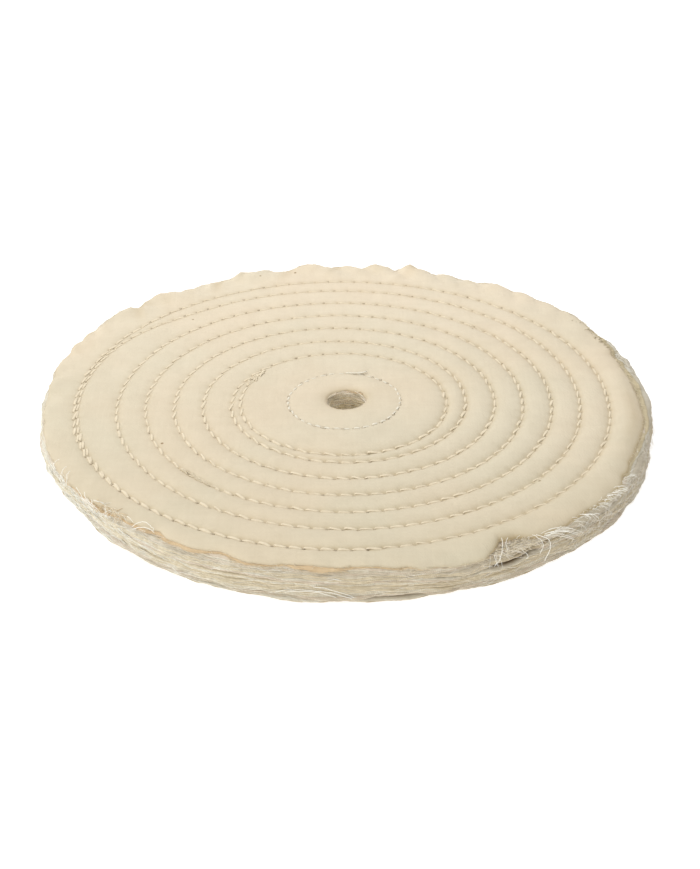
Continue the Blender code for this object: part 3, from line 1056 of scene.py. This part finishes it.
# Long loose yarns: three places each, as (angle, share of the radius, millimetres above the top).
LOOSE_YARNS = (
    ((305, 0.98, 0.3), (306.8, 1.045, 0.8), (305.3, 1.01, -8)),
    ((304.4, 0.972, 0.1), (305.6, 1.025, 0.2), (304.8, 1.012, -5)),
    ((301.3, 0.985, -1.6), (301.9, 1.02, -2.2), (301.5, 1.008, -5)),
    ((299, 0.942, 0.5), (297.9, 1.0, 1), (295.4, 1.008, -4.2)),
    ((300.3, 0.946, 0.2), (299, 0.975, 0.9), (298.4, 0.99, -1.8)),
    ((315.6, 0.985, -0.2), (317, 1.015, 0.8), (318.8, 1.012, -1.5)),
    ((316, 0.985, -0.4), (317.8, 1.02, 0.2), (318, 1.014, -3)),
    ((323.8, 0.985, -0.2), (325.2, 1.025, 0.6), (326.6, 1.014, -2)),
    ((325, 0.988, -0.4), (327.4, 1.022, 0.4), (328.6, 1.012, -1.2)),
    ((206.2, 0.972, 0.5), (206.8, 0.992, 1), (208, 1.004, -1)),
    ((208, 0.97, 0.5), (209, 0.99, 1.1), (209.8, 1.002, -1.4)),
    ((203.4, 0.976, 0.5), (203.9, 0.994, 0.9), (204.4, 1.006, -0.6)),
    ((215.5, 0.984, 0.2), (218.5, 1.008, 0.6), (221.4, 0.994, -2.2)),
    ((213, 0.988, 0.1), (216.5, 1.01, 0.2), (220.4, 0.996, -1.2)),
    ((229.6, 0.985, -0.4), (231, 0.94, 1.4), (233.4, 0.958, 0)),
    ((229.9, 0.99, -0.8), (232, 0.955, 0.9), (233.8, 0.962, -0.4)),
    ((256.5, 0.99, -9.6), (263, 1.018, -2.4), (271, 0.998, -8.8)),
    ((257.5, 0.99, -9.8), (264, 1.016, -3.6), (269, 0.998, -9)),
    ((263, 0.985, -5.4), (268, 1.012, -4.6), (272.5, 1.0, -10)),
)


def make_loose_yarns(material):
    """Each yarn is a quadratic curve through its three places, slightly crinkled."""
    angle, share, height = np.moveaxis(np.array(LOOSE_YARNS), -1, 0)
    x, y = polar(WHEEL_R * share, angle)
    start, middle, end = joined(x, y, TOP_Z + MM * height)[:, None].transpose(2, 0, 1, 3)
    t = np.linspace(0.0, 1.0, 14)[None, :, None]
    paths = start * (1.0 - t) ** 2 + middle * 2.0 * t * (1.0 - t) + end * t**2
    rng = default_rng(60)
    paths = paths + 0.12 * MM * np.cumsum(rng.normal(size=paths.shape), axis=1)
    fray_yarns("loose_yarns", paths, 0.085 * MM * np.ones(paths.shape[:2]), 6, material)


def make_bore_fray(name, count, seed, material):
    """Yarns that lie round the wall of the arbor hole, along the cut plies."""
    rng = default_rng(seed)
    share = row_of_shares(12)
    angle = rng.uniform(0.0, TAU, (count, 1))
    angle = angle + np.radians(rng.uniform(18.0, 60.0, (count, 1))) * share
    bow = np.sin(math.pi * share)
    out = rng.uniform(0.0, 0.25, (count, 1)) - rng.uniform(0.0, 0.30, (count, 1)) * bow
    radius = BORE_R + MM * out
    sway = MM * rng.normal(0.0, 0.35, (count, 1)) * (share - 0.5)
    z = rng.uniform(UNDER_Z + 0.8 * MM, TOP_Z - 1.1 * MM, (count, 1)) + sway
    paths = joined(radius * np.cos(angle), radius * np.sin(angle), z)
    radii = 0.09 * MM * rng.uniform(0.7, 1.3, (count, 1)) * (0.4 + 0.6 * bow)
    fray_yarns(name, paths, radii, 5, material)


def make_fray():
    white = yarn("fray_white", (0.88, 0.87, 0.80), (0.80, 0.77, 0.68), 6.0 * MM)
    grey = yarn("fray_grey", (0.82, 0.77, 0.68), (0.70, 0.64, 0.54), 6.0 * MM)
    cream = yarn("fray_cream", (0.72, 0.64, 0.48), (0.62, 0.54, 0.38), 4.0 * MM)
    tan = yarn("fray_tan", (0.68, 0.55, 0.36), (0.58, 0.46, 0.29), 4.0 * MM)
    olive = yarn("fray_olive", (0.46, 0.39, 0.25), (0.36, 0.30, 0.18), 4.0 * MM)
    warm = yarn("fray_warm", (0.95, 0.87, 0.74), (0.84, 0.74, 0.60), 5.0 * MM)
    top = len(PLIES) - 1
    inner, cover, long, short = (0, top - 1), (top, top + 1), (2.5, 8.0), (1.0, 3.5)
    for row in (
        ("rim_fray_white", 800, 51, (2.0, 7.0), 0.25, 0.075, white, inner),
        ("rim_fray_grey", 600, 52, (1.5, 5.0), 0.35, 0.075, grey, inner),
        ("rim_fray_left", 900, 53, long, 0.2, 0.09, white, (8, top), (211.0, 13.0)),
        ("rim_fray_right", 1300, 54, short, 0.6, 0.075, grey, (10, top - 1), (332.0, 19.0)),
        ("tan_fray", 420, 57, (1.0, 4.0), 0.25, 0.075, tan, (top - 1, top), (262.0, 22.0)),
        ("cover_fray", 420, 55, (0.8, 2.4), 0.9, 0.075, cream, cover),
        ("cover_fray_right", 160, 56, short, 0.9, 0.075, cream, cover, (18.0, 14.0)),
    ):
        rim_yarns(*row)
    bundle = (306.6, 0.7, 0.985, 0.006, 0.0, 0.7)
    ledge = (301.0, 2.6, 0.972, 0.022, -1.6, 0.7)
    foot = (296.2, 0.5, 0.985, 0.008, -0.8, 0.8)
    edge = (322.0, 6.0, 0.985, 0.010, -0.8, 1.0)
    loops = (222.0, 2.6, 0.975, 0.012, 0.0, 0.4)
    ticks = (17.0, 9.0, 0.950, 0.008, 0.2, 0.3)
    for row in (
        ("torn_bundle", 12, 61, bundle, (6.5, 9.5), 64.0, 9.0, 1.0, 0.085, white),
        ("torn_fuzz", 110, 62, ledge, (1.0, 3.2), 85.0, 30.0, 0.4, 0.07, grey),
        ("torn_fuzz_cream", 160, 69, ledge, (1.0, 3.2), 85.0, 30.0, 0.4, 0.08, cream),
        ("torn_foot", 5, 63, foot, (2.0, 4.0), -30.0, 25.0, 2.5, 0.06, white),
        ("right_fringe", 70, 64, edge, (1.5, 4.0), 60.0, 25.0, 1.0, 0.07, white),
        ("left_loops", 22, 65, loops, (2.0, 4.5), 70.0, 40.0, 1.2, 0.075, white),
        ("left_loops_tan", 26, 70, loops, (1.5, 3.5), 70.0, 40.0, 1.0, 0.11, tan),
        ("cover_ticks", 60, 68, ticks, (0.8, 2.6), 10.0, 40.0, 0.4, 0.09, olive),
    ):
        tuft(*row)
    make_loose_yarns(white)
    make_bore_fray("bore_fray_warm", 150, 66, warm)
    make_bore_fray("bore_fray_cream", 40, 67, cream)


# -------- studio


def make_floor():
    nodes = Nodes("studio_floor", 0.9)
    paper = nodes.noise(0.4, 2.0)
    colour = nodes.ramp(paper, (0.0, (0.57, 0.57, 0.57)), (1.0, (0.60, 0.60, 0.60)))
    nodes.feed(nodes.shader, {"Emission Color": (1.0, 1.0, 1.0), "Emission Strength": 0.66})
    material = nodes.finish(colour)
    half, z = 6.0, FLOOR_Z
    points = np.array([(-half, -half, z), (half, -half, z), (half, half, z), (-half, half, z)])
    floor = make_mesh("studio_floor", points, [np.array([[0, 1, 2, 3]])], material)


def area_light(name, place, size, watts):
    """A round lamp that shines at the arbor hole."""
    lamp = bpy.data.lights.new(name, "AREA")
    lamp.shape = "DISK"
    lamp.size = size
    lamp.energy = watts
    obj = bpy.data.objects.new(name, lamp)
    obj.location = place
    x, y, z = place
    obj.rotation_euler = (math.atan2(math.hypot(x, y), z), 0.0, math.atan2(-y, -x) - math.pi / 2)
    bpy.context.collection.objects.link(obj)


def make_studio():
    scene = bpy.context.scene
    world = bpy.data.worlds.new("studio")
    world.use_nodes = True
    background = world.node_tree.nodes["Background"]
    background.inputs["Color"].default_value = (1.0, 1.0, 1.0, 1.0)
    background.inputs["Strength"].default_value = 0.85
    scene.world = world
    scene.view_settings.view_transform = "Standard"
    area_light("key", (-0.65, 0.35, 0.95), 0.9, 5.4)
    area_light("back", (-0.16, 0.42, 0.42), 0.4, 0.9)
    area_light("fill", (-0.5, -1.0, 0.26), 0.5, 4.2)


def make_camera():
    """Looks down at 30.5 degrees at the arbor hole's mouth, seven wheel radii away."""
    elevation = math.radians(30.5)
    distance = 7.05 * WHEEL_R
    camera = bpy.data.cameras.new("camera")
    camera.lens = 89.0
    camera.sensor_width = 36.0
    camera.shift_x = 0.004
    camera.shift_y = -0.042
    obj = bpy.data.objects.new("camera", camera)
    obj.location = (0.0, -distance * math.cos(elevation), TOP_Z + distance * math.sin(elevation))
    obj.rotation_euler = (math.pi / 2 - elevation, 0.0, 0.0)
    bpy.context.collection.objects.link(obj)
    bpy.context.scene.camera = obj


make_plies()
make_sewing()
make_fray()
make_floor()
make_studio()
make_camera()
